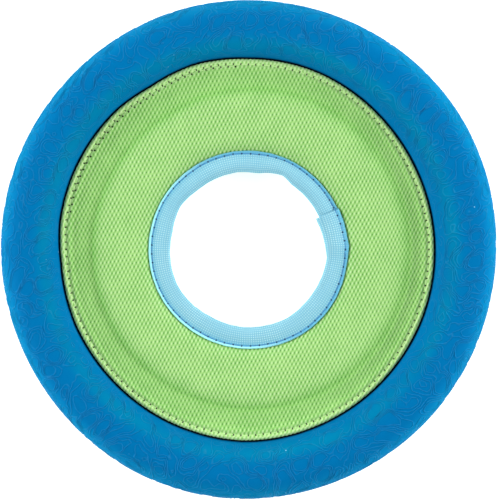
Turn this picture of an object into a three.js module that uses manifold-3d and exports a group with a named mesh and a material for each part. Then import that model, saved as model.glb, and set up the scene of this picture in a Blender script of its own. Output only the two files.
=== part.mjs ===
// Soft flying ring: a foam-rubber rim round a sewn cloth centre with an open grip hole.
// Millimetres, +Z up. The origin is on the spin axis, on the surface that the ring lies on.
//
// How it comes apart on a bench:
//   rim            one fat moulded bead, with a shallow groove all round its inner wall
//   sewing_flange  a flat black rubber strip bonded into that groove, which the panels are stitched to
//   foam_core      a thin foam annulus that floats between the two cloth panels
//   upper_panel    cloth annulus, turned under at its outer edge and sewn to the flange's upper face
//   lower_panel    the same cloth, sewn to the flange's lower face
//   hole_binding   one length of tape folded over both panels' inner edges, its tail lapped over its head
//   four threads   a needle thread above and a bobbin thread below, for each of the two seams
//
// The ring is the same above and below its middle plane, apart from the thread that shows.

import * as THREE from "three";
import { mergeVertices } from "three/addons/utils/BufferGeometryUtils.js";
import Module from "manifold-3d";

const wasm = await Module();
wasm.setup();

// ---- Driving dimensions ----

const OUTER_DIAMETER = 216; // across the rim
const RIM_HEIGHT = 25; // the rim's thickness, top land to bottom land
const BEAD_WIDTH = 25.5; // the bead's width, seen from above
const LAND_WIDTH = 5; // flat on the bead's crest and foot, which the ring lies on
const FLANGE_THICKNESS = 3; // the flat strip that the panels are stitched to
const FLANGE_INNER_RADIUS = 71;
const FLANGE_RADIUS = 84; // its outer edge, bonded into the bead

const PANEL_THICKNESS = 0.8; // heavy oxford cloth with a coated back
const PANEL_RADIUS = 81.9; // finished outer edge, at the turned hem
const PANEL_CUT_RADIUS = 35.8; // raw inner edge, hidden in the binding
const HEM_WIDTH = 4.4; // the turned-under allowance doubles the cloth here
const RIM_SEAM_RADIUS = 79.7;

const CORE_RADIUS = 69.6;
const CORE_INNER_RADIUS = 45;
const CORE_THICKNESS = 7.4; // at its crest, just inside its bevelled outer edge

const HOLE_RADIUS = 33.9; // the open grip hole, inside the binding
const TAPE_THICKNESS = 0.6;
const TAPE_COVER = 9.3; // how far each leg of the folded tape reaches outwards
const TAPE_FOLD_HEIGHT = 1.9; // half the folded tape's thickness, at its fullest
const HOLE_SEAM_RADIUS = 42.2;
const LAP_START = THREE.MathUtils.degToRad(4); // the tail covers the head between these two directions
const LAP_END = THREE.MathUtils.degToRad(24.5);

const THREAD_WIDTH = 0.8;
const THREAD_HEIGHT = 0.45;

const CLEARANCE = 0.1; // between layers that only lie on each other
const TURNS = 48; // facets round every ring
const MID_HEIGHT = RIM_HEIGHT / 2;

// ---- Shared helpers. A section is a list of [radius, height above the middle plane] ----

/** A closed ring turned from a section, whichever way round its points are listed. */
function ringGeometry(section) {
  const points = section.map(([r, h]) => new THREE.Vector2(r, h));
  if (THREE.ShapeUtils.isClockWise(points)) points.reverse();
  points.push(points[0].clone());
  const ring = new THREE.LatheGeometry(points, TURNS);
  return ring.rotateX(Math.PI / 2); // the lathe turns about +Y, and the part stands along +Z
}

/** The same section below the middle plane. */
const mirrored = (section) => section.map(([r, h]) => [r, -h]);

/** Points of a quarter or half ellipse, from one angle to another, in degrees. */
function ellipsePoints(r, h, radiusR, radiusH, fromDegrees, toDegrees, steps) {
  return Array.from({ length: steps + 1 }, (_, i) => {
    const share = i / steps;
    const a = THREE.MathUtils.degToRad(fromDegrees + share * (toDegrees - fromDegrees));
    return [r + radiusR * Math.cos(a), h + radiusH * Math.sin(a)];
  });
}

/** A strip of even thickness lying on top of a line of [radius, height] points. */
function stripSection(line, thicknessAt) {
  const upper = line.map(([r, h]) => [r, h + thicknessAt(r)]);
  return [...line, ...upper.reverse()];
}

/** A closed geometry as a manifold-3d solid, so that two can be joined or cut. */
function toSolid(geometry) {
  const bare = geometry.clone();
  bare.deleteAttribute("normal");
  bare.deleteAttribute("uv");
  const merged = mergeVertices(bare, 1e-4);
  return new wasm.Manifold(
    new wasm.Mesh({
      numProp: 3,
      vertProperties: merged.attributes.position.array,
      triVerts: new Uint32Array(merged.index.array),
    }),
  );
}

/** A manifold-3d solid as a geometry again. */
function toGeometry(solid) {
  const mesh = solid.getMesh();
  const geometry = new THREE.BufferGeometry();
  geometry.setAttribute("position", new THREE.BufferAttribute(mesh.vertProperties, 3));
  geometry.setIndex(new THREE.BufferAttribute(mesh.triVerts, 1));
  geometry.computeVertexNormals();
  return geometry;
}

// ---- Materials ----

const foamRubber = new THREE.MeshStandardMaterial({ color: 0x0378b8, roughness: 0.62, metalness: 0 });
const stripRubber = new THREE.MeshStandardMaterial({ color: 0x10161c, roughness: 0.8, metalness: 0 });
const nylonCloth = new THREE.MeshStandardMaterial({ color: 0x9bd27c, roughness: 0.8, metalness: 0 });
const coreFoam = new THREE.MeshStandardMaterial({ color: 0xe9ece8, roughness: 0.95, metalness: 0 });
const bindingTape = new THREE.MeshStandardMaterial({ color: 0x97d7e8, roughness: 0.78, metalness: 0 });
const greenThread = new THREE.MeshStandardMaterial({ color: 0xa9db88, roughness: 0.55, metalness: 0 });
const blueThread = new THREE.MeshStandardMaterial({ color: 0x6fb6dc, roughness: 0.55, metalness: 0 });

const flyingRing = new THREE.Group();

/** Adds a named piece. Sections are drawn about the middle plane, so each piece is lifted to it. */
function addPiece(name, geometry, material) {
  const piece = new THREE.Mesh(geometry, material);
  piece.name = name;
  piece.position.z = MID_HEIGHT;
  flyingRing.add(piece);
}

// ---- Rim: bead with flat lands, grooved inside for the flange ----

function rimSection() {
  const outer = OUTER_DIAMETER / 2;
  const inner = outer - BEAD_WIDTH;
  const middle = (outer + inner) / 2;
  const shoulder = (BEAD_WIDTH - LAND_WIDTH) / 2; // how far each rounded side reaches past the land
  const half = RIM_HEIGHT / 2;
  const lip = FLANGE_THICKNESS / 2 + CLEARANCE;
  // The bead's inner side stops where it meets the groove.
  const stop = THREE.MathUtils.radToDeg(Math.asin(lip / half));
  const outerSide = ellipsePoints(middle + LAND_WIDTH / 2, 0, shoulder, half, -90, 90, 10);
  const upperInnerSide = ellipsePoints(middle - LAND_WIDTH / 2, 0, shoulder, half, 90, 180 - stop, 5);
  const lowerInnerSide = mirrored(upperInnerSide).reverse();
  const groove = [
    [FLANGE_RADIUS + CLEARANCE, lip],
    [FLANGE_RADIUS + CLEARANCE, -lip],
  ];
  return [...outerSide, ...upperInnerSide, ...groove, ...lowerInnerSide];
}

addPiece("rim", ringGeometry(rimSection()), foamRubber);

const flangeFace = [
  [FLANGE_INNER_RADIUS, FLANGE_THICKNESS / 2],
  [FLANGE_RADIUS, FLANGE_THICKNESS / 2],
];
addPiece("sewing_flange", ringGeometry([...flangeFace, ...mirrored(flangeFace).reverse()]), stripRubber);

// ---- Foam core: nearly flat, bevelled outside and inside down to thin edges ----

/** Half the core's thickness on the way out from its inner edge to its crest and down its outer bevel. */
function coreLine() {
  const crest = CORE_THICKNESS / 2;
  return [
    [CORE_INNER_RADIUS, 0.12 * crest],
    [CORE_INNER_RADIUS + 1.2, 0.5 * crest],
    [CORE_INNER_RADIUS + 3, 0.76 * crest],
    [CORE_INNER_RADIUS + 6.5, 0.9 * crest],
    [CORE_RADIUS - 5.3, crest],
    [CORE_RADIUS - 3.1, 0.92 * crest],
    [CORE_RADIUS - 1.3, 0.68 * crest],
    [CORE_RADIUS - 0.3, 0.4 * crest],
    [CORE_RADIUS, 0.2 * crest],
  ];
}

addPiece("foam_core", ringGeometry([...coreLine(), ...mirrored(coreLine()).reverse()]), coreFoam);

// ---- Panels: sewn to the flange, drawn over the core, and pinched together at the hole ----

/** The line that the upper panel's underside lies along, from the hole outwards. */
function panelLine() {
  const onFlange = FLANGE_THICKNESS / 2 + CLEARANCE;
  const overCore = coreLine()
    .slice(1, -1)
    .map(([r, h]) => [r, h + CLEARANCE]);
  return [
    [PANEL_CUT_RADIUS, CLEARANCE / 2],
    [HOLE_SEAM_RADIUS + 0.8, CLEARANCE / 2],
    [CORE_INNER_RADIUS - 0.3, 0.5],
    ...overCore,
    [CORE_RADIUS + 0.8, onFlange],
    [PANEL_RADIUS - HEM_WIDTH - 0.4, onFlange],
    [PANEL_RADIUS - HEM_WIDTH, onFlange],
    [PANEL_RADIUS, onFlange + 0.4],
  ];
}

/** One layer of cloth, two where the hem is turned under, and rounded off at the fold. */
function clothThickness(r) {
  if (r >= PANEL_RADIUS) return PANEL_THICKNESS;
  return r >= PANEL_RADIUS - HEM_WIDTH ? 2 * PANEL_THICKNESS : PANEL_THICKNESS;
}

const panelSection = stripSection(panelLine(), clothThickness);
addPiece("upper_panel", ringGeometry(panelSection), nylonCloth);
addPiece("lower_panel", ringGeometry(mirrored(panelSection)), nylonCloth);

// ---- Binding: tape folded over the raw edges, with its tail lapped over its head ----

/** A folded tape's section, between two skins: how far each stands outside the tape's own outer face. */
function bindingSection(outerSkin, innerSkin) {
  const foldCentre = HOLE_RADIUS + 3.6;
  const edge = HOLE_RADIUS + TAPE_COVER;
  const pinch = TAPE_FOLD_HEIGHT - 0.3; // the seam draws the legs' edges in
  const skin = (growth) => {
    const reach = foldCentre - HOLE_RADIUS + growth;
    const height = TAPE_FOLD_HEIGHT + growth;
    const fold = ellipsePoints(foldCentre, 0, reach, height, 90, 270, 6);
    return [[edge, pinch + growth], ...fold, [edge, -pinch - growth]];
  };
  return [...skin(outerSkin), ...skin(innerSkin).reverse()];
}

/** A slice of the space round the axis, from the lap's start to its end. */
function lapWedge() {
  const reach = OUTER_DIAMETER;
  const wedge = new THREE.Shape();
  wedge.moveTo(0, 0);
  wedge.lineTo(reach * Math.cos(LAP_START), reach * Math.sin(LAP_START));
  wedge.lineTo(reach * Math.cos(LAP_END), reach * Math.sin(LAP_END));
  wedge.closePath();
  const slice = new THREE.ExtrudeGeometry(wedge, { depth: RIM_HEIGHT, bevelEnabled: false });
  return slice.translate(0, 0, -RIM_HEIGHT / 2);
}

function bindingGeometry() {
  const tape = toSolid(ringGeometry(bindingSection(0, -TAPE_THICKNESS)));
  // The tail reaches halfway into the head under it, so that the two join into one body.
  const tail = toSolid(ringGeometry(bindingSection(TAPE_THICKNESS, -TAPE_THICKNESS / 2)));
  return toGeometry(tape.add(tail.intersect(toSolid(lapWedge()))));
}

addPiece("hole_binding", bindingGeometry(), bindingTape);

// ---- Threads: each seam's line of stitches as a plain ring on the layer that it holds down ----

/** A thread ring lying on a face at this height above the middle plane. */
function threadSection(radius, faceHeight) {
  const low = faceHeight + CLEARANCE / 2;
  const half = THREAD_WIDTH / 2;
  return [
    [radius - half, low],
    [radius + half, low],
    [radius + half / 2, low + THREAD_HEIGHT],
    [radius - half / 2, low + THREAD_HEIGHT],
  ];
}

const hemTop = FLANGE_THICKNESS / 2 + CLEARANCE + 2 * PANEL_THICKNESS;
const rimThread = threadSection(RIM_SEAM_RADIUS, hemTop);
addPiece("rim_seam_needle_thread", ringGeometry(rimThread), greenThread);
addPiece("rim_seam_bobbin_thread", ringGeometry(mirrored(rimThread)), greenThread);

// The lapped tail stands a tape's thickness proud, and the ring clears it all the way round.
const tapeTop = TAPE_FOLD_HEIGHT + TAPE_THICKNESS;
const holeThread = threadSection(HOLE_SEAM_RADIUS, tapeTop);
addPiece("hole_seam_needle_thread", ringGeometry(holeThread), blueThread);
addPiece("hole_seam_bobbin_thread", ringGeometry(mirrored(holeThread)), blueThread);

export default flyingRing;
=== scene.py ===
"""A soft flying ring: a foam-rubber rim round a sewn cloth centre with a tape-bound grip hole.

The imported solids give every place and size. Each soft good is then made as the real one is: the rim
with its moulded relief, two panels of woven cloth turned under at their edges, a folded tape whose
tail laps its head, and four threads as rows of single stitches.
"""

import logging
import math
from collections.abc import Callable, Sequence
from dataclasses import dataclass, field
from enum import Enum

import bmesh
import bpy
import numpy as np
from mathutils import Matrix, Vector


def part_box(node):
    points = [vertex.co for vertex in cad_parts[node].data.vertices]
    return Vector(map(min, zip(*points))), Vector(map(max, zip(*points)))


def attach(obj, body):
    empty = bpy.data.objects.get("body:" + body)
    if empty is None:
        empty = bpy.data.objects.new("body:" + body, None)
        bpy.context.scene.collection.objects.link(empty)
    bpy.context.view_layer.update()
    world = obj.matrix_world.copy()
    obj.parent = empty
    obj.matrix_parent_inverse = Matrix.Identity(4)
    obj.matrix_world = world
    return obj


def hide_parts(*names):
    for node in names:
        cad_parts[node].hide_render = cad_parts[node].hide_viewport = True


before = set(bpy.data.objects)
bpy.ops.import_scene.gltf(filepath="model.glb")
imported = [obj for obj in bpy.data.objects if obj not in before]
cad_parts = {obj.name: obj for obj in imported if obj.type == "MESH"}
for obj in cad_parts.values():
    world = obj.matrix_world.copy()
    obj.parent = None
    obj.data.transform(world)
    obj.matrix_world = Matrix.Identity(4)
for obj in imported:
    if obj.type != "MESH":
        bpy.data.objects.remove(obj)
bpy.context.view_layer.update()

log = logging.getLogger("flying_ring")

MM = 0.001
WELD = 0.001 * MM  # points of a turned ring that are nearer than this are one
BODY = "root"
RELIEF = "relief"  # the rim's attribute that is 1 on the crests of its moulded lines
CROWN_SHADE = "crown"  # the rim's attribute that is 1 on its crown, where painted shade deepens the blue, and falls on the shoulders, which carry painted highlight
NEEDLE_HOLE = "needle_hole"  # the attribute of cloth and tape that is 1 where the needle went through, painted near black there as the holes' shade
FOLD_LIGHT = "painted_fold_light"  # the cloth's attribute that rises towards its outer fold, painted light that lifts the hem's colour
PAINTED_SHADE = "painted_shade"  # the cloth's attribute that is highest at the core's foot and lower beyond the core, painted shade that deepens the green there
CREASE = "crease"  # the tape's attribute that is 1 where its seam draws it down into shade
LIP_HIGHLIGHT = "lip"  # the tape's attribute that is 1 on its upturned outer edge towards one side, a painted highlight there
CLOTH_MAP = "cloth"  # each cloth panel's map, counted in bumps of its weave
TAPE_MAP = "tape"  # the tape's map, in millimetres along and across it
WHITE = (1.0, 1.0, 1.0, 1.0)
COLOURS = {"data_type": "RGBA"}  # settings of a Mix node that mixes colours
YARN_LEAN = 0.6  # share of the weave that runs up to the right, which makes its bumps lean that way

# ---- Shared sizes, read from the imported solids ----


def half_span(node: str, axis: int = 0) -> float:
    """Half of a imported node's size along one axis, which is the radius of a turned node."""
    low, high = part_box(node)
    return (high[axis] - low[axis]) / 2


MID_HEIGHT = half_span("rim", 2)  # the ring's middle plane, above the surface that it lies on


class Side(Enum):
    """Which face of the ring a piece belongs to."""

    UPPER = 1
    LOWER = -1


# ---- How a hand-sewn ring leaves the true circle ----


@dataclass(frozen=True)
class Lobe:
    """One wave of an outline that isn't quite round."""

    order: int  # waves in one turn
    size: float  # how far it swings each way
    turn: float  # direction of its first crest, in degrees

    def at(self, angle: np.ndarray) -> np.ndarray:
        """How far the lobe pushes the outline outwards in each direction."""
        return self.size * np.cos(self.order * (angle - math.radians(self.turn)))


@dataclass(frozen=True)
class Kink:
    """One place where an outline turns a slight corner, outwards or inwards."""

    turn: float  # direction of the corner, in degrees
    size: float  # how far it stands out, or in if negative
    before: float  # degrees from where it starts to rise to the corner
    after: float  # degrees from the corner to where it has died away

    def at(self, angle: np.ndarray) -> np.ndarray:
        """How far the corner pushes the outline outwards.

        Args:
            angle: Directions from the ring's middle, in radians.

        Returns:
            The push in each direction, in metres.
        """
        away = np.degrees(np.angle(np.exp(1j * (angle - math.radians(self.turn)))))
        reach = np.where(away < 0, self.before, self.after)
        return self.size * np.clip(1 - np.abs(away) / reach, 0.0, 1.0)


@dataclass(frozen=True)
class Outline:
    """A circle of the nominal ring, with what the sewing did to it."""

    radius: float
    waves: tuple[Lobe | Kink, ...] = ()

    def shift(self, angle: np.ndarray) -> np.ndarray:
        """How far the outline stands outside its circle in each direction."""
        return sum((wave.at(angle) for wave in self.waves), np.zeros_like(angle))


HOLE_RADIUS = 33.8 * MM

PANEL_WAVES = (
    Lobe(1, 0.84 * MM, 154),
    Lobe(2, 0.88 * MM, 103),
    Lobe(4, 0.2 * MM, 83),
    Kink(90, -0.6 * MM, 22, 14),
    Kink(121, -0.95 * MM, 14, 12),
    Kink(184, -0.8 * MM, 12, 20),
    Kink(268, 0.4 * MM, 16, 22),
)

OUTLINES = (
    Outline(
        HOLE_RADIUS,
        (
            Kink(65, 1.6 * MM, 9, 17),
            Kink(85, -0.5 * MM, 12, 11),
            Kink(147, 1.1 * MM, 17, 20),
            Kink(207, 0.6 * MM, 38, 22),
            Kink(240, -0.45 * MM, 14, 28),
            Kink(300, 0.35 * MM, 22, 18),
            Kink(355, 0.45 * MM, 25, 14),
        ),
    ),
    Outline(
        43.3 * MM,
        (
            Lobe(1, 0.25 * MM, 245),
            Lobe(2, 0.3 * MM, 140),
            Lobe(3, 0.15 * MM, 80),
            Kink(2, 0.35 * MM, 14, 6),
        ),
    ),
    Outline(57.0 * MM),
    Outline(79.0 * MM, PANEL_WAVES),
    Outline(83.5 * MM, PANEL_WAVES),
    Outline(
        108.0 * MM,
        (
            Lobe(1, 0.34 * MM, 52),
            Lobe(2, 0.48 * MM, 70),
            Lobe(3, 0.3 * MM, 26),
            Lobe(5, 0.17 * MM, 33),
        ),
    ),
)


CORE_FOOT = 70.8 * MM  # where the cloth comes down at the core's outer edge
CORE_SHIFT = Outline(66.0 * MM, (Lobe(1, 1.7 * MM, 8), Lobe(2, 0.35 * MM, 35), Lobe(3, 0.3 * MM, 75)))
SHIFTS_FROM = (47 * MM, 59 * MM)  # between these the cloth comes to follow the core's slide
SHIFTS_TO = (70 * MM, 76 * MM)  # between these it stops following it
SLACK = -0.12 * MM  # mean sink of the cloth at the core's foot, below zero where it bridges it
SLACK_WIDTH = 2.2 * MM
SLACK_LEAN = Outline(CORE_FOOT, (Lobe(1, 0.5 * MM, 172),))  # how the sink differs from side to side


def core_shift(radius: np.ndarray, angle: np.ndarray) -> np.ndarray:
    """How far the foam core, which only floats between the panels, has slid outwards at each place."""
    share = smooth_step(*SHIFTS_FROM, radius) * (1 - smooth_step(*SHIFTS_TO, radius))
    return CORE_SHIFT.shift(angle) * share


def slack(radius: np.ndarray, angle: np.ndarray) -> np.ndarray:
    """How far the cloth sinks at the core's foot, most on the side that the core has slid away from."""
    return (SLACK + SLACK_LEAN.shift(angle)) * closeness(radius, CORE_FOOT, SLACK_WIDTH)


def drawn_out_of_round(points: np.ndarray) -> np.ndarray:
    """Moves points of the nominal ring to where they are on the sewn one.

    Args:
        points: Rows of x, y and z.

    Returns:
        The same rows, pushed outwards or inwards by the nearest outlines' shares.
    """
    radius, angle = polar(points)
    stations = np.array([outline.radius for outline in OUTLINES])
    shifts = np.array([outline.shift(angle) for outline in OUTLINES])
    after = np.clip(np.searchsorted(stations, radius), 1, len(stations) - 1)
    low, high = stations[after - 1], stations[after]
    share = np.clip((radius - low) / (high - low), 0.0, 1.0)
    rows = np.arange(len(points))
    shift = shifts[after - 1, rows] * (1 - share) + shifts[after, rows] * share
    scale = 1 + shift / np.maximum(radius, 1 * MM)
    return np.column_stack((points[:, 0] * scale, points[:, 1] * scale, points[:, 2]))


# ---- Mesh helpers ----


def points_of(bm: bmesh.types.BMesh) -> np.ndarray:
    """Every vertex of a bmesh as rows of x, y and z."""
    return np.array([v.co[:] for v in bm.verts])


def place_points(bm: bmesh.types.BMesh, points: np.ndarray) -> None:
    """Moves every vertex of a bmesh to its row."""
    for vert, point in zip(bm.verts, points.tolist()):
        vert.co = point


def place_on_side(bm: bmesh.types.BMesh, points: np.ndarray, side: Side) -> None:
    """Moves every vertex of a piece to its row, turned over if the piece belongs underneath.

    Args:
        bm: The piece's shape.
        points: Rows of x, y and z on the upper side, one for each vertex.
        side: The side that the piece belongs to.
    """
    if side is Side.LOWER:
        points[:, 2] = 2 * MID_HEIGHT - points[:, 2]
        bmesh.ops.reverse_faces(bm, faces=bm.faces)
    place_points(bm, points)


def of_kind(parts: Sequence[object], kind: type) -> list:
    """The parts of one kind, out of what a bmesh operator gives back."""
    return [part for part in parts if isinstance(part, kind)]


def on_circle(radius: np.ndarray, angle: np.ndarray, height: np.ndarray) -> np.ndarray:
    """Rows of x, y and z from cylinder coordinates, with height counted from the middle plane."""
    return np.column_stack((radius * np.cos(angle), radius * np.sin(angle), height + MID_HEIGHT))


def polar(points: np.ndarray) -> tuple[np.ndarray, np.ndarray]:
    """The radius and angle of each row of x, y and anything else."""
    return np.hypot(points[:, 0], points[:, 1]), np.arctan2(points[:, 1], points[:, 0])


def lengths_along(radius: np.ndarray, height: np.ndarray) -> np.ndarray:
    """The length along a line from its start to each of its points."""
    return np.concatenate(([0], np.cumsum(np.hypot(np.diff(radius), np.diff(height)))))


def closeness(value: np.ndarray, centre: float, width: float) -> np.ndarray:
    """1 at the centre, falling away on both sides to about a third at the width."""
    return np.exp(-(((value - centre) / width) ** 2))


def smooth_step(low: float, high: float, value: np.ndarray) -> np.ndarray:
    """0 below low, 1 above high, and an easy slope between them."""
    share = np.clip((value - low) / (high - low), 0.0, 1.0)
    return share * share * (3 - 2 * share)


def eased_curve(knots: Sequence[tuple[float, float]], ease: float) -> Callable[[np.ndarray], np.ndarray]:
    """A line through a few points with its corners eased off.

    Args:
        knots: Places and heights, in metres.
        ease: How far round each corner the easing reaches, in metres.

    Returns:
        A function from places to heights.
    """
    step = 0.05 * MM
    places, heights = np.array(knots).T
    fine = np.arange(places[0] - 2 * ease, places[-1] + 2 * ease, step)
    window = np.hanning(max(3, int(2 * ease / step) | 1))  # | 1 makes its length odd, so it has a middle
    sharp = np.pad(np.interp(fine, places, heights), len(window) // 2, mode="edge")
    eased = np.convolve(sharp, window / window.sum(), "valid")
    return lambda place: np.interp(place, fine, eased)


def finished(name: str, bm: bmesh.types.BMesh, material: bpy.types.Material) -> bpy.types.Object:
    """Turns a bmesh into a shown object.

    Args:
        name: The piece's name.
        bm: The piece's shape in the ring's frame. It is freed.
        material: The piece's finish.

    Returns:
        The object, at the origin, with smooth shading.
    """
    mesh = bpy.data.meshes.new(name)
    bm.to_mesh(mesh)
    bm.free()
    mesh.materials.append(material)
    mesh.shade_smooth()
    obj = bpy.data.objects.new(name, mesh)
    bpy.context.scene.collection.objects.link(obj)
    return obj


def turned_ring(section: Sequence[tuple[float, float]], steps: int) -> bmesh.types.BMesh:
    """Turns a closed section round the ring's axis.

    Args:
        section: Radii and heights above the middle plane.
        steps: Facets in the turn.

    Returns:
        The closed ring, with its normals outwards.
    """
    bm = bmesh.new()
    verts = [bm.verts.new((radius, 0, MID_HEIGHT + height)) for radius, height in section]
    edges = [bm.edges.new((verts[i - 1], verts[i])) for i in range(len(verts))]
    bmesh.ops.spin(
        bm,
        geom=verts + edges,
        cent=(0, 0, 0),
        axis=(0, 0, 1),
        angle=2 * math.pi,
        steps=steps,
        use_merge=True,
    )
    bmesh.ops.remove_doubles(bm, verts=bm.verts, dist=WELD)
    bmesh.ops.recalc_face_normals(bm, faces=bm.faces)
    return bm


def paint_points(obj: bpy.types.Object, name: str, values: np.ndarray) -> None:
    """Stores one number for each vertex, which a material can read."""
    layer = obj.data.attributes.new(name=name, type="FLOAT", domain="POINT")
    layer.data.foreach_set("value", np.ascontiguousarray(values, np.float32))


def map_points(obj: bpy.types.Object, name: str, places: np.ndarray) -> None:
    """Gives a piece its own map.

    Args:
        obj: The piece.
        name: The map's name.
        places: A row of two numbers for each vertex.
    """
    layer = obj.data.uv_layers.new(name=name)
    corner = np.empty(len(obj.data.loops), np.int32)
    obj.data.loops.foreach_get("vertex_index", corner)
    layer.data.foreach_set("uv", places[corner].astype(np.float32).ravel())


def installed(obj: bpy.types.Object, slot: str, *nodes: str) -> bpy.types.Object:
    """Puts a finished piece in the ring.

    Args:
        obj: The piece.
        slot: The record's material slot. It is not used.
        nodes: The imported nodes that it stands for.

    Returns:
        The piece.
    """
    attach(obj, BODY)
    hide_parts(*nodes)
    triangles = sum(len(face.vertices) - 2 for face in obj.data.polygons)
    log.info("%s: %d triangles", obj.name, triangles)
    return obj


# ---- Material helpers ----


def linear(hex_colour: str) -> tuple[float, float, float, float]:
    """Turns a hex colour to linear light.

    Args:
        hex_colour: An sRGB colour such as "1b7fbd".

    Returns:
        Linear red, green, blue and alpha.
    """
    parts = [int(hex_colour[i : i + 2], 16) / 255 for i in (0, 2, 4)]
    red, green, blue = (p / 12.92 if p <= 0.04045 else ((p + 0.055) / 1.055) ** 2.4 for p in parts)
    return red, green, blue, 1.0


class NodeSheet:
    """The node tree of one material."""

    def __init__(self, name: str) -> None:
        """Starts a material that holds only its output.

        Args:
            name: The material's name.
        """
        self.material = bpy.data.materials.new(name)
        self.material.use_nodes = True
        self.tree = self.material.node_tree
        self.tree.nodes.clear()

    def add(self, kind: str, settings: dict | None = None, **inputs: object) -> bpy.types.Node:
        """Adds one node.

        Args:
            kind: The node's type without its ShaderNode prefix.
            settings: Values for the node's own properties.
            inputs: A value, another node's output, or another node (for the first output that it has
                switched on) for each input, whose name has _ for its spaces. A name of the form i3
                means the input's number.

        Returns:
            The node.
        """
        node = self.tree.nodes.new("ShaderNode" + kind)
        for key, value in (settings or {}).items():
            setattr(node, key, value)
        for key, value in inputs.items():
            number = key[1:]
            socket = node.inputs[int(number) if number.isdigit() else key.replace("_", " ")]
            if isinstance(value, bpy.types.Node):
                value = next(output for output in value.outputs if output.enabled)
            if isinstance(value, bpy.types.NodeSocket):
                self.tree.links.new(value, socket)
            else:
                socket.default_value = value
        return node

    def finish(self, surface: bpy.types.Node) -> bpy.types.Material:
        """Connects the surface's shader to the output, and returns the material."""
        self.add("OutputMaterial", Surface=surface)
        return self.material


# ---- Finishes ----


@dataclass(frozen=True)
class SkinnedFoamRubber:
    """Expanded thermoplastic rubber, moulded so that it closes into a smooth skin.

    The eye gets a saturated, slightly milky blue with a broad satin gloss and almost no mirror image.
    """

    colour: str = "0080a8"
    deep_colour: str = "0078a7"
    # painted shade: the crown's deeper blue, where the top lies darker than its lit sides
    crown_shade_colour: str = "006ca6"
    # colour of the lint specks, and of the painted highlight on the relief's crests
    lint_and_crest_highlight_colour: str = "8fd0e6"
    roughness: tuple[float, float] = (0.55, 0.68)  # in the grain's hollows and on its tops
    specular: float = 0.012
    skin_grain: float = 0.5 * MM  # coarser than the real skin's grain, which is too fine to show
    mottle_size: float = 22 * MM
    painted_lightening: float = 0.04  # how far the relief's crests are painted paler, a painted highlight
    lint_spacing: float = 5 * MM
    lint_patch: float = 31 * MM

    def material(self) -> bpy.types.Material:
        """Builds the finish.

        Returns:
            The material.
        """
        sheet = NodeSheet("skinned_foam_rubber")
        place = sheet.add("TexCoord").outputs["Object"]
        blotch = 1 / self.mottle_size
        mottle = sheet.add("TexNoise", Vector=place, Scale=blotch, Detail=3.0, Roughness=0.55)
        band = sheet.add("MapRange", Value=mottle, From_Min=0.35, From_Max=0.65)
        shoulder = sheet.add("Mix", COLOURS, i0=band, i6=linear(self.deep_colour), i7=linear(self.colour))
        # painted shade on the crown and painted highlight on the shoulders
        crown = sheet.add("Attribute", {"attribute_name": CROWN_SHADE}).outputs["Fac"]
        body = sheet.add("Mix", COLOURS, i0=crown, i6=shoulder, i7=linear(self.crown_shade_colour))
        # painted highlight: the relief's crests are painted paler
        line = sheet.add("Attribute", {"attribute_name": RELIEF}).outputs["Fac"]
        painted_lightening = sheet.add("MapRange", Value=line, From_Min=0.3, To_Max=self.painted_lightening)
        with_painted_light = sheet.add("Mix", COLOURS, i0=painted_lightening, i6=body, i7=linear(self.lint_and_crest_highlight_colour))
        lint = sheet.add("TexVoronoi", Vector=place, Scale=1 / self.lint_spacing)
        speck = sheet.add("MapRange", Value=lint, From_Min=0.04, From_Max=0.07, To_Min=0.75, To_Max=0.0)
        patch = sheet.add("TexNoise", Vector=place, Scale=1 / self.lint_patch, Detail=1.0)
        linty = sheet.add("MapRange", Value=patch, From_Min=0.66, From_Max=0.7)
        shown = sheet.add("Math", {"operation": "MULTIPLY"}, i0=speck, i1=linty)
        skin = sheet.add("Mix", COLOURS, i0=shown, i6=with_painted_light, i7=linear(self.lint_and_crest_highlight_colour))
        grain = sheet.add("TexNoise", Vector=place, Scale=1 / self.skin_grain, Detail=4.0, Roughness=0.6)
        bump = sheet.add("Bump", Strength=0.25, Distance=0.03 * MM, Height=grain)
        smooth, rough = self.roughness
        gloss = sheet.add("MapRange", Value=grain, To_Min=smooth, To_Max=rough)
        shader = sheet.add(
            "BsdfPrincipled",
            Base_Color=skin,
            Roughness=gloss,
            Normal=bump,
            Specular_IOR_Level=self.specular,
        )
        return sheet.finish(shader)


@dataclass(frozen=True)
class StripRubber:
    """Dense sheet rubber, calendered and slit: black and dull, with a faint dusty bloom."""

    colour: str = "0d1115"
    bloom_colour: str = "1b2126"
    bloom_size: float = 3 * MM
    roughness: float = 0.85
    specular: float = 0.2

    def material(self) -> bpy.types.Material:
        """Builds the finish.

        Returns:
            The material.
        """
        sheet = NodeSheet("strip_rubber")
        place = sheet.add("TexCoord").outputs["Object"]
        dust = sheet.add("TexNoise", Vector=place, Scale=1 / self.bloom_size, Detail=5.0)
        body = sheet.add("Mix", COLOURS, i0=dust, i6=linear(self.colour), i7=linear(self.bloom_colour))
        shader = sheet.add(
            "BsdfPrincipled",
            Base_Color=body,
            Roughness=self.roughness,
            Specular_IOR_Level=self.specular,
        )
        return sheet.finish(shader)


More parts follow.
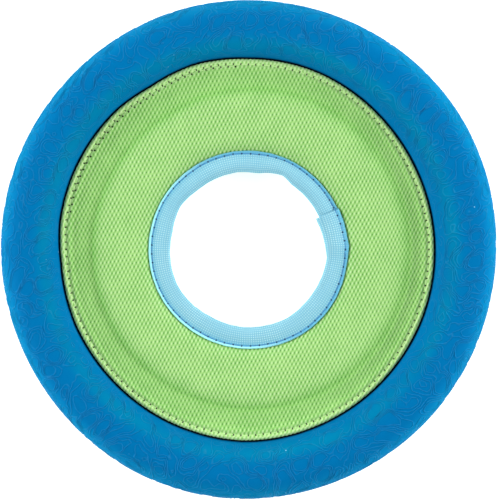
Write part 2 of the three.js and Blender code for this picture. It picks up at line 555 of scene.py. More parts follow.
@dataclass(frozen=True)
class CellFoam:
    """Cross-linked polyethylene foam, sliced and die cut: dull and off-white, with fine open pores."""

    colour: str = "e6e9e2"
    # painted shade in the pores
    pore_shade_colour: str = "b9bdb2"
    pore: float = 0.6 * MM
    pore_depth: float = 0.1 * MM
    roughness: float = 0.95
    specular: float = 0.2

    def material(self) -> bpy.types.Material:
        """Builds the finish.

        Returns:
            The material.
        """
        sheet = NodeSheet("cell_foam")
        place = sheet.add("TexCoord").outputs["Object"]
        cells = sheet.add("TexVoronoi", Vector=place, Scale=1 / self.pore)
        # painted shade in the pores, which the bump also sinks
        body = sheet.add("Mix", COLOURS, i0=cells, i6=linear(self.pore_shade_colour), i7=linear(self.colour))
        bump = sheet.add("Bump", Strength=0.6, Distance=self.pore_depth, Height=cells)
        shader = sheet.add(
            "BsdfPrincipled",
            Base_Color=body,
            Normal=bump,
            Roughness=self.roughness,
            Specular_IOR_Level=self.specular,
        )
        return sheet.finish(shader)


@dataclass(frozen=True)
class HeavyNylonCloth:
    """Solution-dyed nylon in a heavy basket weave, coated on its back.

    The eye gets plump bright yarns with deep green gaps between them, and a soft sheen along the yarns.
    """

    # painted highlight on the yarn tops and painted shade in the gaps between them, with the flanks between
    yarn_colour: str = "c9e5aa"
    flank_colour: str = "93c970"
    shade_colour: str = "82bd62"
    gap_colour: str = "31761e"
    # painted shade: multiplied in to deepen and saturate the green where the cloth lies in shade
    shade_tint: str = "e4fcd6"
    # painted shade in the needle holes
    hole_shade_colour: str = "0a1405"
    fibres_per_bump: float = 4.2  # fewer and thicker than the real fibres, which are too fine to show
    fibre_relief: float = 1.7  # the fibres' height, as a share of half the weave's
    tone_size: float = 9 * MM
    yarn_bump: float = 0.12 * MM
    roughness: float = 0.68
    specular: float = 0.12
    sheen: float = 0.03
    sheen_roughness: float = 0.4

    def material(self) -> bpy.types.Material:
        """Builds the finish.

        Returns:
            The material.
        """
        sheet = NodeSheet("heavy_nylon_cloth")
        yarn = self._weave_with_fold_light(sheet)
        place = sheet.add("TexCoord").outputs["Object"]
        batch = sheet.add("TexNoise", Vector=place, Scale=1 / self.tone_size, Detail=4.0)
        tone = sheet.add("MapRange", Value=batch, From_Min=0.3, From_Max=0.7)
        shade, bright = linear(self.shade_colour), linear(self.flank_colour)
        flank = sheet.add("Mix", COLOURS, i0=tone, i6=shade, i7=bright)
        # the weave's height paints shade into the gaps and highlight onto the yarn tops
        rising = sheet.add("MapRange", Value=yarn, From_Min=-1.1, From_Max=-0.5)
        lower = sheet.add("Mix", COLOURS, i0=rising, i6=linear(self.gap_colour), i7=flank)
        plump = sheet.add("MapRange", Value=yarn, From_Min=-0.1, From_Max=1.1)
        before_foot_shade = sheet.add("Mix", COLOURS, i0=plump, i6=lower, i7=linear(self.yarn_colour))
        # painted shade at the core's foot and beyond the core
        shade_depth = sheet.add("Attribute", {"attribute_name": PAINTED_SHADE}).outputs["Fac"]
        multiply = COLOURS | {"blend_type": "MULTIPLY"}
        woven = sheet.add("Mix", multiply, i0=shade_depth, i6=before_foot_shade, i7=linear(self.shade_tint))
        # painted shade in the needle holes
        hole = sheet.add("Attribute", {"attribute_name": NEEDLE_HOLE}).outputs["Fac"]
        hole_shade = sheet.add("MapRange", Value=hole, From_Min=0.3, From_Max=0.65)
        cloth = sheet.add("Mix", COLOURS, i0=hole_shade, i6=woven, i7=linear(self.hole_shade_colour))
        bump = sheet.add("Bump", Strength=0.55, Distance=self.yarn_bump, Height=yarn)
        shader = sheet.add(
            "BsdfPrincipled",
            Base_Color=cloth,
            Normal=bump,
            Roughness=self.roughness,
            Specular_IOR_Level=self.specular,
            Sheen_Weight=self.sheen,
            Sheen_Roughness=self.sheen_roughness,
        )
        return sheet.finish(shader)

    def _weave_with_fold_light(self, sheet: NodeSheet) -> bpy.types.Node:
        """The height of the yarns and their fibres, from about -1 to 1, raised towards the outer fold by
        painted light that lifts the hem's colour.

        Args:
            sheet: The cloth's nodes.

        Returns:
            The node that gives the height.
        """
        bumps = sheet.add("UVMap", {"uv_map": CLOTH_MAP})
        scale = self.fibres_per_bump
        fibres = sheet.add("TexNoise", Vector=bumps, Scale=scale, Detail=4.0, Roughness=0.75)
        lift = {"i1": self.fibre_relief, "i2": -self.fibre_relief / 2}
        rough = sheet.add("Math", {"operation": "MULTIPLY_ADD"}, i0=fibres, **lift)
        # painted light: the hem's colour is lifted towards the outer fold
        fold = sheet.add("Attribute", {"attribute_name": FOLD_LIGHT}).outputs["Fac"]
        with_painted_light = sheet.add("Math", {"operation": "ADD"}, i0=fold, i1=rough)
        return sheet.add("Math", {"operation": "ADD"}, i0=self._weave(sheet, bumps), i1=with_painted_light)

    def _weave(self, sheet: NodeSheet, bumps: bpy.types.Node) -> bpy.types.Node:
        """The weave's height from -1 to 1, by the same rule as the panel's mesh.

        Args:
            sheet: The cloth's nodes.
            bumps: The node that gives the cloth's map.

        Returns:
            The node that gives the height.
        """
        waves = []
        for sign, share in ((-1, YARN_LEAN), (1, 1 - YARN_LEAN)):
            across = (math.pi, sign * math.pi, 0)
            turns = sheet.add("VectorMath", {"operation": "DOT_PRODUCT"}, i0=bumps, i1=across)
            wave = sheet.add("Math", {"operation": "COSINE"}, i0=turns)
            waves.append(sheet.add("Math", {"operation": "MULTIPLY"}, i0=wave, i1=share))
        return sheet.add("Math", {"operation": "ADD"}, i0=waves[0], i1=waves[1])


@dataclass(frozen=True)
class WovenTape:
    """Light blue nylon binding tape in a close plain weave, with a faint ladder of crossing yarns.

    The tape's own map is in millimetres: along the tape, then across it.
    """

    colour: str = "bae1e2"
    deep_colour: str = "a1cfd8"
    gap_colour: str = "72b5cd"
    # painted shade in the seam's crease, then painted highlight on the lip outside it
    crease_colour: str = "52acd0"
    lip_highlight_colour: str = "a0ebf6"
    # painted shade in the needle holes
    hole_shade_colour: str = "0a2f5c"
    pitch: float = 0.95  # yarn spacing on the tape's map, about twice the real one so that it shows
    yarn_bump: float = 0.12 * MM
    soil_size: float = 16 * MM
    roughness: float = 0.7
    specular: float = 0.3

    def material(self) -> bpy.types.Material:
        """Builds the finish.

        Returns:
            The material.
        """
        sheet = NodeSheet("woven_tape")
        tape = sheet.add("UVMap", {"uv_map": TAPE_MAP})
        waves = [
            sheet.add(
                "TexWave",
                {"wave_type": "BANDS", "bands_direction": direction},
                Vector=tape,
                Scale=math.pi / (10 * self.pitch),
                Distortion=0.6,
                Detail=1.0,
            ).outputs["Fac"]
            for direction in ("X", "Y")
        ]
        grid = sheet.add("Math", {"operation": "MULTIPLY"}, i0=waves[0], i1=waves[1])
        place = sheet.add("TexCoord").outputs["Object"]
        soil = sheet.add("TexNoise", Vector=place, Scale=1 / self.soil_size, Detail=4.0)
        tone = sheet.add("MapRange", Value=soil, From_Min=0.35, From_Max=0.65)
        top = sheet.add("Mix", COLOURS, i0=tone, i6=linear(self.deep_colour), i7=linear(self.colour))
        cloth = sheet.add("Mix", COLOURS, i0=grid, i6=linear(self.gap_colour), i7=top)
        # painted highlight on the lip and painted shade in the crease
        for attribute, colour in ((LIP_HIGHLIGHT, self.lip_highlight_colour), (CREASE, self.crease_colour)):
            share = sheet.add("Attribute", {"attribute_name": attribute}).outputs["Fac"]
            cloth = sheet.add("Mix", COLOURS, i0=share, i6=cloth, i7=linear(colour))
        # painted shade in the needle holes
        hole = sheet.add("Attribute", {"attribute_name": NEEDLE_HOLE}).outputs["Fac"]
        hole_shade = sheet.add("MapRange", Value=hole, From_Min=0.25, From_Max=0.6)
        cloth = sheet.add("Mix", COLOURS, i0=hole_shade, i6=cloth, i7=linear(self.hole_shade_colour))
        bump = sheet.add("Bump", Strength=0.6, Distance=self.yarn_bump, Height=grid)
        shader = sheet.add(
            "BsdfPrincipled",
            Base_Color=cloth,
            Normal=bump,
            Roughness=self.roughness,
            Specular_IOR_Level=self.specular,
        )
        return sheet.finish(shader)


@dataclass(frozen=True)
class BondedThread:
    """Bonded polyester sewing thread: smooth, firmly twisted and a little glossy."""

    name: str
    colour: str
    shade_colour: str
    twist: float = 0.5 * MM
    twist_depth: float = 0.05 * MM
    roughness: float = 0.45

    def material(self) -> bpy.types.Material:
        """Builds the finish.

        Returns:
            The material.
        """
        sheet = NodeSheet(self.name)
        place = sheet.add("TexCoord").outputs["Object"]
        twist = sheet.add("TexNoise", Vector=place, Scale=1 / self.twist, Detail=2.0)
        body = sheet.add("Mix", COLOURS, i0=twist, i6=linear(self.shade_colour), i7=linear(self.colour))
        bump = sheet.add("Bump", Strength=0.4, Distance=self.twist_depth, Height=twist)
        shader = sheet.add("BsdfPrincipled", Base_Color=body, Normal=bump, Roughness=self.roughness)
        return sheet.finish(shader)


# ---- Seams: where the needle went through ----


@dataclass(frozen=True)
class SeamRow:
    """One row of evenly spaced needle holes round the ring, or round part of it."""

    radius: float
    pitch: float
    start: float = 0.0  # degrees
    sweep: float = 360.0  # degrees
    sway: float = 0.1 * MM  # how far the row wanders off its circle
    wander: tuple[tuple[float, int, float], ...] = ((1.0, 7, 1.3), (0.6, 19, 0.4))  # share, order, start

    @property
    def count(self) -> int:
        """How many stitches the row has."""
        return round(self.radius * math.radians(self.sweep) / self.pitch)

    def holes(self) -> tuple[np.ndarray, np.ndarray]:
        """Finds every needle hole, from the first to the last.

        Returns:
            Radii and angles.
        """
        angle = math.radians(self.start) + np.linspace(0, math.radians(self.sweep), self.count + 1)
        wander = sum(share * np.sin(order * angle + start) for share, order, start in self.wander)
        return self.radius + self.sway * wander, angle

    def nearness(self, points: np.ndarray, reach: float) -> np.ndarray:
        """How close each point of the nominal ring is to a needle hole.

        Args:
            points: Rows of x, y and anything else.
            reach: The distance at which the nearness has fallen to about a third.

        Returns:
            A number from 0 to 1 for each point.
        """
        radii, angles = self.holes()
        around = np.mod(polar(points)[1] - angles[0], 2 * math.pi)
        index = np.round(around / (angles[1] - angles[0])).astype(int)
        index = np.where(index <= self.count, index, 0)
        hole = np.column_stack((radii * np.cos(angles), radii * np.sin(angles)))[index]
        away = np.hypot(points[:, 0] - hole[:, 0], points[:, 1] - hole[:, 1])
        return closeness(away, 0.0, reach)


SEAM_PINCH = 1.22 * MM  # height of the tape's face where the hole's seam pinches it
RIM_SEAM_RADIUS = 79.7 * MM
RIM_STITCH = 3.2 * MM
OVERSEWN = 1.1 * MM  # from the rim's seam to the second row that finishes it
HOLE_SEAM_RADIUS = 41.9 * MM
HOLE_STITCH = 3.8 * MM
RIM_ROWS = (
    SeamRow(RIM_SEAM_RADIUS, RIM_STITCH),
    SeamRow(RIM_SEAM_RADIUS - OVERSEWN, RIM_STITCH, start=94, sweep=74, sway=0.2 * MM),
)
HOLE_ROWS = (SeamRow(HOLE_SEAM_RADIUS, HOLE_STITCH),)


# ---- Rim ----


@dataclass(frozen=True)
class ContourRelief:
    """The moulded relief: thin raised lines that wander round soft blobs like a map's contours."""

    blob: float = 9.5 * MM  # from one blob to the next of its kind
    blob_waves: int = 32  # plane waves that add up to the blobs
    spread: tuple[float, float] = (0.8, 1.2)  # range of the waves' frequencies, as shares of the mean
    levels: tuple[float, ...] = (-1.15, -0.6, 0.0, 0.6, 1.15)
    half_width: float = 0.34 * MM
    height: float = 0.2 * MM
    ripple: float = 5 * MM
    ripple_size: float = 0.55 * MM
    ripple_waves: int = 4  # plane waves that ripple the blobs' edges along each axis
    probe: float = 0.05 * MM  # step by which the field's slope is measured
    least_slope: float = 0.12 / MM  # taken where the field is flatter, so that no line spreads there
    shown_reach: float = 4.0  # half widths from a line beyond which the skin counts as clear of it
    seed: int = 11

    def _waves(self, seed: int, length: float, count: int) -> tuple[np.ndarray, np.ndarray]:
        """Draws plane waves that add up to an even random field.

        Args:
            seed: Seed of the random draws.
            length: Wavelength, in metres.
            count: How many waves.

        Returns:
            The waves' directions as columns, in radians a metre, and their starts.
        """
        draw = np.random.default_rng(seed)
        direction = draw.normal(size=(3, count))
        direction /= np.linalg.norm(direction, axis=0)
        spread = draw.uniform(*self.spread, count)
        return direction * spread * 2 * math.pi / length, draw.uniform(0, 2 * math.pi, count)

    def field(self, points: np.ndarray) -> np.ndarray:
        """The random field whose contours the lines follow.

        Args:
            points: Rows of x, y and z.

        Returns:
            The field at each point, with a spread of 1.
        """
        wave, start = self._waves(self.seed, self.ripple, 3 * self.ripple_waves)
        ripples = np.sin(points @ wave + start).reshape(-1, 3, self.ripple_waves)
        warped = points + self.ripple_size * ripples.sum(2) / math.sqrt(self.ripple_waves)
        wave, start = self._waves(self.seed + 1, self.blob, self.blob_waves)
        return np.cos(warped @ wave + start).sum(1) / math.sqrt(self.blob_waves / 2)


@dataclass
class Rim:
    """The moulded foam-rubber rim: one fat bead, grooved inside for the sewing flange."""

    outer_radius: float = half_span("rim")
    bead_width: float = 25.5 * MM
    land_width: float = 5 * MM  # the flatter band on top, between the two round sides
    land_ease: float = 12.0  # how quickly the land turns into the sides
    section_points: int = 800
    groove_radius: float = half_span("sewing_flange") + 0.1 * MM
    groove_height: float = 3.2 * MM
    cell: float = 1.6 * MM  # size of the mesh's squares between the relief's lines
    snap: float = 0.02 * MM  # a cut takes a vertex that is nearer than this
    weld: float = 0.01 * MM  # vertices that are nearer than this are one, as where the roll closes
    crest_from: float = 0.9  # a vertex whose mark is above this is on a crest
    flank_from: float = 0.5  # a face with a vertex whose mark is above this is a flank
    line_fade: tuple[float, float] = (2 * MM, 11 * MM)  # lines start and are full this far from a foot
    inner_shoulder: tuple[float, float] = (88.6 * MM, 3.4 * MM)  # middle and width of the inner shoulder's band of painted highlight
    inner_highlight: float = 0.9
    outer_shoulder: tuple[float, float] = (101 * MM, 107 * MM)  # where the outer shoulder's painted highlight rises outwards
    outer_highlight: float = 0.6
    relief: ContourRelief = field(default_factory=ContourRelief)

    @property
    def middle(self) -> float:
        """Radius of the bead's middle."""
        return self.outer_radius - self.bead_width / 2

    def _section(self) -> tuple[np.ndarray, np.ndarray]:
        """The bead's outline.

        Returns:
            Radii and heights, from the upper foot over and under to the lower foot.
        """
        reach = (self.bead_width - self.land_width) / 2
        stop = math.asin(self.groove_height / 2 / MID_HEIGHT)
        turn = np.linspace(math.pi - stop, -math.pi + stop, self.section_points)
        side = np.clip(np.cos(turn) * self.land_ease, -1, 1) * self.land_width / 2
        return self.middle + side + reach * np.cos(turn), MID_HEIGHT * np.sin(turn)

    def _lengths(self) -> tuple[float, float]:
        """The bead's length round its middle, and the length of its outline."""
        return 2 * math.pi * self.middle, float(lengths_along(*self._section())[-1])

    def _surface(self, around: np.ndarray, across: np.ndarray, raised: np.ndarray) -> np.ndarray:
        """Places on the bead.

        Args:
            around: Lengths round the bead's middle.
            across: Lengths along its outline, from the upper foot.
            raised: Heights above the skin.

        Returns:
            Rows of x, y and z in the nominal ring.
        """
        radius, height = self._section()
        along = lengths_along(radius, height)
        out, up = -np.gradient(height, along), np.gradient(radius, along)
        r = np.interp(across, along, radius) + raised * np.interp(across, along, out)
        h = np.interp(across, along, height) + raised * np.interp(across, along, up)
        return on_circle(r, around / self.middle, h)

    def _stand_up_field(self, bm: bmesh.types.BMesh, level: float) -> None:
        """Sets each vertex of the flat skin as high as it is far from the level's contour line.

        Args:
            bm: The flat skin.
            level: The field's value on the line.
        """
        flat = points_of(bm)
        step = self.relief.probe
        level_skin = np.zeros(len(flat))

        def field_at(du: float, dv: float) -> np.ndarray:
            """The relief's field a little way along the skin."""
            return self.relief.field(self._surface(flat[:, 0] + du, flat[:, 1] + dv, level_skin))

        here = field_at(0, 0)
        slope = np.hypot(field_at(step, 0) - here, field_at(0, step) - here) / step
        distance = (here - level) / np.maximum(slope, self.relief.least_slope)
        limit = self.relief.shown_reach * self.relief.half_width
        flat[:, 2] = np.clip(distance, -limit, limit)
        place_points(bm, flat)

    def _cut_lines(self, bm: bmesh.types.BMesh) -> bmesh.types.BMLayerItem:
        """Cuts each contour line's two feet and its crest into the flat skin.

        Args:
            bm: The flat skin.

        Returns:
            The layer that is 1 on the crests.
        """
        crest = bm.verts.layers.float.new(RELIEF)
        for level in self.relief.levels:
            self._stand_up_field(bm, level)
            for height in (-self.relief.half_width, self.relief.half_width, 0.0):
                cut = bmesh.ops.bisect_plane(
                    bm,
                    geom=bm.verts[:] + bm.edges[:] + bm.faces[:],
                    dist=self.snap,
                    plane_co=(0, 0, height),
                    plane_no=(0, 0, 1),
                )
            for vert in of_kind(cut["geom_cut"], bmesh.types.BMVert):
                vert[crest] = 1.0
        return crest

    def _roll_up(self, bm: bmesh.types.BMesh, crest: bmesh.types.BMLayerItem) -> None:
        """Rolls the flat skin into the bead, raises the lines, and closes the roll.

        Args:
            bm: The flat skin.
            crest: The layer that is 1 on the crests.
        """
        flat = points_of(bm)
        _, width = self._lengths()
        fade = smooth_step(*self.line_fade, np.minimum(flat[:, 1], width - flat[:, 1]))
        raised = np.array([vert[crest] for vert in bm.verts]) * self.relief.height * fade
        place_points(bm, self._surface(flat[:, 0], flat[:, 1], raised))
        bmesh.ops.remove_doubles(bm, verts=bm.verts, dist=self.weld)

    def _crisp_lines(self, bm: bmesh.types.BMesh, crest: bmesh.types.BMLayerItem) -> None:
        """Keeps the crests and the feet of the moulded lines crisp where the rest is smooth.

        Args:
            bm: The finished bead.
            crest: The layer that is 1 on the crests.
        """
        flank = {face for face in bm.faces if any(vert[crest] > self.flank_from for vert in face.verts)}
        for edge in bm.edges:
            on_crest = all(vert[crest] > self.crest_from for vert in edge.verts)
            at_foot = sum(face in flank for face in edge.link_faces) == 1
            edge.smooth = not (on_crest or at_foot)

    def _add_groove(self, bm: bmesh.types.BMesh) -> None:
        """Sinks the groove outwards from both feet of the bead, and closes its bottom.

        Args:
            bm: The bead, open at its two feet.
        """
        tips = []
        for sign in (1, -1):
            foot = [e for e in bm.edges if e.is_boundary and (e.verts[0].co.z - MID_HEIGHT) * sign > 0]
            made = bmesh.ops.extrude_edge_only(bm, edges=foot)["geom"]
            for vert in of_kind(made, bmesh.types.BMVert):
                vert.co.xy *= self.groove_radius / vert.co.xy.length
            tips += [edge for edge in of_kind(made, bmesh.types.BMEdge) if edge.is_boundary]
        bmesh.ops.bridge_loops(bm, edges=tips)

    def _crown_shade_share(self, points: np.ndarray) -> np.ndarray:
        """How much painted shade each point has: most on the crown, less on both shoulders, which are
        painted paler as highlight.

        Args:
            points: Rows of x, y and z.

        Returns:
            A number from 0 to 1 for each point.
        """
        radius, _ = polar(points)
        inner = self.inner_highlight * closeness(radius, *self.inner_shoulder)
        return 1 - inner - self.outer_highlight * smooth_step(*self.outer_shoulder, radius)

    def build(self, finish: SkinnedFoamRubber) -> bpy.types.Object:
        """Makes the rim.

        Args:
            finish: The rim's material.

        Returns:
            The rim, installed.
        """
        around, across = self._lengths()
        bm = bmesh.new()
        bmesh.ops.create_grid(
            bm, x_segments=round(around / self.cell), y_segments=round(across / self.cell), size=0.5
        )
        bmesh.ops.translate(bm, vec=(0.5, 0.5, 0), verts=bm.verts)
        bmesh.ops.scale(bm, vec=(around, across, 1), verts=bm.verts)
        crest = self._cut_lines(bm)
        self._roll_up(bm, crest)
        self._add_groove(bm)
        bmesh.ops.recalc_face_normals(bm, faces=bm.faces)
        points = drawn_out_of_round(points_of(bm))
        points[:, 2] = np.maximum(points[:, 2], 0.0)  # the lines are pressed flat where it lies on them
        place_points(bm, points)
        self._crisp_lines(bm, crest)
        rim = finished("foam_rubber_rim", bm, finish.material())
        # painted shade on the crown and painted highlight on both shoulders
        paint_points(rim, CROWN_SHADE, self._crown_shade_share(points))
        return installed(rim, "rim_foam_rubber", "rim")


# ---- Sewing flange ----


@dataclass
class SewingFlange:
    """The flat rubber strip, bonded into the bead's groove, that the panels are stitched to."""

    outer_radius: float = half_span("sewing_flange")
    inner_radius: float = 71 * MM
    half_thickness: float = half_span("sewing_flange", 2)
    edge_round: float = 0.4 * MM
    steps: int = 240

    def build(self, finish: StripRubber) -> bpy.types.Object:
        """Makes the flange.

        Args:
            finish: The flange's material.

        Returns:
            The flange, installed.
        """
        half, ease = self.half_thickness, self.edge_round
        line = [
            (self.inner_radius, half - ease),
            (self.inner_radius + ease, half),
            (self.outer_radius, half),
        ]
        bm = turned_ring(line + [(r, -h) for r, h in reversed(line)], self.steps)
        place_points(bm, drawn_out_of_round(points_of(bm)))
        flange = finished("sewing_flange_strip", bm, finish.material())
        return installed(flange, "flange_rubber", "sewing_flange")


# ---- Foam core ----


@dataclass
class FoamCore:
    """The hidden foam annulus that the panels are drawn over."""

    outer_radius: float = half_span("foam_core")
    inner_radius: float = 45 * MM
    crest: float = half_span("foam_core", 2)
    steps: int = 180

    def _upper_line(self) -> list[tuple[float, float]]:
        """The upper half of its section.

        Returns:
            Radii and heights, from the thin inner edge over the crest to the bevelled outer edge.
        """
        inner, outer, crest = self.inner_radius, self.outer_radius, self.crest
        return [
            (inner, 0.12 * crest),
            (inner + 1.2 * MM, 0.5 * crest),
            (inner + 3 * MM, 0.76 * crest),
            (inner + 6.5 * MM, 0.9 * crest),
            (outer - 5.3 * MM, crest),
            (outer - 3.1 * MM, 0.92 * crest),
            (outer - 1.3 * MM, 0.68 * crest),
            (outer - 0.3 * MM, 0.4 * crest),
            (outer, 0.2 * crest),
        ]

    def build(self, finish: CellFoam) -> bpy.types.Object:
        """Makes the core.

        Args:
            finish: The core's material.

        Returns:
            The core, installed.
        """
        line = self._upper_line()
        bm = turned_ring(line + [(r, -h) for r, h in reversed(line)], self.steps)
        points = points_of(bm)
        radius, angle = polar(points)
        shifted = on_circle(radius + core_shift(radius, angle), angle, points[:, 2] - MID_HEIGHT)
        place_points(bm, drawn_out_of_round(shifted))
        core = finished("foam_core_ring", bm, finish.material())
        return installed(core, "core_foam", "foam_core")


# ---- Cloth panels ----


@dataclass
class ClothPanel:
    """One face of the sewn centre, woven yarn by yarn, turned under at its outer edge."""

    side: Side
    fold_radius: float = half_span("upper_panel")
    woven_from: float = 42.0 * MM  # inside this the cloth is hidden in the binding, and is plain
    weave_ease: float = 1 * MM  # beyond that radius by which the weave has its full height
    bound_radius: float = 40 * MM  # the plain cloth's middle ring
    trim: float = 0.2 * MM  # how far inside the fold's radius the woven grid ends
    trim_margin: float = 0.15 * MM  # keeps slivers from forming along both cuts
    raw_radius: float = 35.8 * MM
    hem_allowance: float = 4.4 * MM
    fold_round: float = 0.8 * MM  # the turned edge's radius, which is the cloth's thickness
    weft_turn: float = 6.8  # direction of the rows of bumps, in degrees
    warp_turn: float = 87.5
    warp_pitch: float = 0.888 * MM
    weft_pitch: float = 1.69 * MM
    facets: tuple[int, int] = (2, 4)  # squares to each pitch, along the weft and along the warp
    yarn_height: float = 0.095 * MM
    plumpness: float = 0.8  # below 1 the yarns are rounder than a plain wave
    needle_reach: float = 0.5 * MM
    needle_dent: float = 0.3 * MM
    seam_reach: float = 0.6 * MM
    seam_dent: float = 0.12 * MM
    fold_lightening: float = 0.75  # how much painted light lifts the outer fold's colour
    # radii between which that painted light rises
    painted_lightening: tuple[float, float] = (77 * MM, 81 * MM)
    shade_depth: float = 0.4  # how much painted shade deepens the cloth outside the core, and again at its foot
    shade_outside: tuple[float, float] = (63 * MM, 69 * MM)
    shade_at_foot: tuple[float, float] = (CORE_FOOT - 1.8 * MM, 1.6 * MM)  # middle and width
    hem_turns: tuple[float, ...] = (1.1, 1.6, 2.1, 2.7, 3.2)  # in radians round the fold
    corner_ease: float = 0.55 * MM
    section: tuple[tuple[float, float], ...] = (  # radius and height, in millimetres
        (35.0, 0.95),
        (40.6, 0.92),
        (41.9, 0.68),
        (43.4, 0.95),
        (44.2, 1.6),
        (45.7, 2.75),
        (47.8, 3.65),
        (51.5, 4.15),
        (61.3, 4.6),
        (63.9, 4.5),
        (66.2, 4.05),
        (68.1, 3.25),
        (69.4, 2.35),
        (73.0, 2.35),
        (76.5, 2.6),
        (78.2, 3.4),
        (79.7, 3.15),
        (80.7, 4.0),
        (84.0, 4.15),
    )
    _height: Callable[[np.ndarray], np.ndarray] = field(init=False)

    def __post_init__(self) -> None:
        """Works out the section that the cloth follows from the hole to its turned edge."""
        self._height = eased_curve([(r * MM, h * MM) for r, h in self.section], self.corner_ease)

    @property
    def fold_start(self) -> float:
        """Radius where the cloth starts to turn under."""
        return self.fold_radius - self.fold_round

    @property
    def cut_radius(self) -> float:
        """Radius of the cloth as it was cut, before its hem was turned under."""
        return self.fold_start + math.pi * self.fold_round + self.hem_allowance

    @property
    def midway(self) -> float:
        """A radius that tells the cloth's outer edge from its inner one."""
        return self.fold_radius * 0.75

    def _yarn_axes(self) -> np.ndarray:
        """The directions of the weft and the warp as columns."""
        turns = np.radians([self.weft_turn, self.warp_turn])
        return np.array([np.cos(turns), np.sin(turns)])

    def _flat_cloth(self) -> bmesh.types.BMesh:
        """The flat cloth as a grid along its yarns, fine enough for every bump of the weave.

        Returns:
            The grid, in the ring's frame.
        """
        steps = np.array([self.warp_pitch, self.weft_pitch]) / np.array(self.facets)
        skew = math.sin(math.radians(self.warp_turn - self.weft_turn))
        counts = np.ceil(self.fold_radius / steps / skew).astype(int)
        bm = bmesh.new()
        bmesh.ops.create_grid(bm, x_segments=int(2 * counts[0]), y_segments=int(2 * counts[1]), size=1)
        axes = self._yarn_axes() * (counts * steps)
        matrix = Matrix(((axes[0, 0], axes[0, 1], 0), (axes[1, 0], axes[1, 1], 0), (0, 0, 1)))
        bmesh.ops.transform(bm, matrix=matrix.to_4x4(), verts=bm.verts)
        return bm

    def _cut_out(self, bm: bmesh.types.BMesh) -> None:
        """Cuts the annulus out of the flat cloth, and brings its edges onto their circles.

        Args:
            bm: The flat cloth.
        """
        outer, margin = self.fold_radius - self.trim, self.trim_margin
        radius = np.hypot(*points_of(bm)[:, :2].T)
        outside = (radius > outer - margin) | (radius < self.woven_from + margin)
        verts = np.array(bm.verts[:], object)
        bmesh.ops.delete(bm, geom=verts[outside].tolist(), context="VERTS")
        loose = [v for v in bm.verts if not v.link_faces]
        bmesh.ops.delete(bm, geom=loose, context="VERTS")
        for vert in (v for v in bm.verts if v.is_boundary):
            reach = math.hypot(vert.co.x, vert.co.y)
            vert.co *= (outer if reach > self.midway else self.woven_from) / reach

    def _add_rings(self, bm: bmesh.types.BMesh, radii: Sequence[float], outer: bool) -> None:
        """Draws an edge of the flat cloth out or in, ring by ring.

        Args:
            bm: The flat cloth.
            radii: The new rings' radii, in order.
            outer: Whether it is the outer edge.
        """
        limit = self.midway
        edges = [e for e in bm.edges if e.is_boundary and (e.verts[0].co.xy.length > limit) == outer]
        for radius in radii:
            made = bmesh.ops.extrude_edge_only(bm, edges=edges)["geom"]
            for vert in of_kind(made, bmesh.types.BMVert):
                vert.co *= radius / vert.co.length
            edges = [edge for edge in of_kind(made, bmesh.types.BMEdge) if edge.is_boundary]

    def _bumps(self, flat: np.ndarray) -> np.ndarray:
        """Points of the flat cloth counted in bumps of the weave, along the weft and the warp."""
        pitch = np.array([self.warp_pitch, self.weft_pitch])
        return np.linalg.solve(self._yarn_axes(), flat.T).T / pitch

    def _weave(self, bumps: np.ndarray) -> np.ndarray:
        """The weave's height, whose bumps lean a little.

        Args:
            bumps: Places counted in bumps of the weave.

        Returns:
            A number from -1 in the gaps to 1 on the bumps.
        """
        rising = np.cos(math.pi * (bumps[:, 0] - bumps[:, 1]))
        falling = np.cos(math.pi * (bumps[:, 0] + bumps[:, 1]))
        return YARN_LEAN * rising + (1 - YARN_LEAN) * falling

    def _sewn(self, flat: np.ndarray) -> tuple[np.ndarray, np.ndarray]:
        """Where the flat cloth goes when it is sewn.

        Args:
            flat: Rows of x and y on the flat cloth.

        Returns:
            Rows of x, y and z of the nominal ring's upper side, then each point's nearness to a needle
            hole.
        """
        reach, angle = polar(flat)
        weave = self._weave(self._bumps(flat))
        start = self.fold_start
        turn = np.clip((reach - start) / self.fold_round, 0, math.pi)
        under = np.maximum(reach - start - math.pi * self.fold_round, 0)
        raised = self.yarn_height * np.sign(weave) * np.abs(weave) ** self.plumpness
        raised *= smooth_step(self.raw_radius, self.woven_from + self.weave_ease, reach)
        bulge = self.fold_round + raised
        hole = np.max([row.nearness(flat, self.needle_reach) for row in RIM_ROWS], axis=0)
        seam = closeness(reach, RIM_SEAM_RADIUS, self.seam_reach)
        held = np.minimum(reach, start)
        on_core = held - core_shift(held, angle)
        top = self._height(on_core) - slack(on_core, angle) - self.fold_round
        radius = held + bulge * np.sin(turn) - under
        height = top + bulge * np.cos(turn) - self.seam_dent * seam - self.needle_dent * hole
        return on_circle(radius, angle, height), hole

    def _shade_share(self, flat: np.ndarray) -> np.ndarray:
        """How much painted shade each point has: most at the core's foot, in the crease, and less beyond
        the core.

        Args:
            flat: Rows of x and y on the flat cloth.

        Returns:
            A number from 0 to 1 for each point.
        """
        reach, angle = polar(flat)
        at_foot = closeness(reach - core_shift(reach, angle), *self.shade_at_foot)
        return self.shade_depth * smooth_step(*self.shade_outside, reach) + self.shade_depth * at_foot

    def build(self, finish: HeavyNylonCloth) -> bpy.types.Object:
        """Makes the panel.

        Args:
            finish: The cloth's material.

        Returns:
            The panel, installed.
        """
        bm = self._flat_cloth()
        self._cut_out(bm)
        hem = [self.fold_start + self.fold_round * turn for turn in self.hem_turns]
        self._add_rings(bm, [*hem, self.cut_radius], outer=True)
        self._add_rings(bm, [self.bound_radius, self.raw_radius], outer=False)
        flat = points_of(bm)[:, :2]
        points, hole = self._sewn(flat)
        place_on_side(bm, drawn_out_of_round(points), self.side)
        side = self.side.name.lower()
        panel = finished(f"{side}_cloth_panel", bm, finish.material())
        map_points(panel, CLOTH_MAP, self._bumps(flat))
        paint_points(panel, NEEDLE_HOLE, hole)
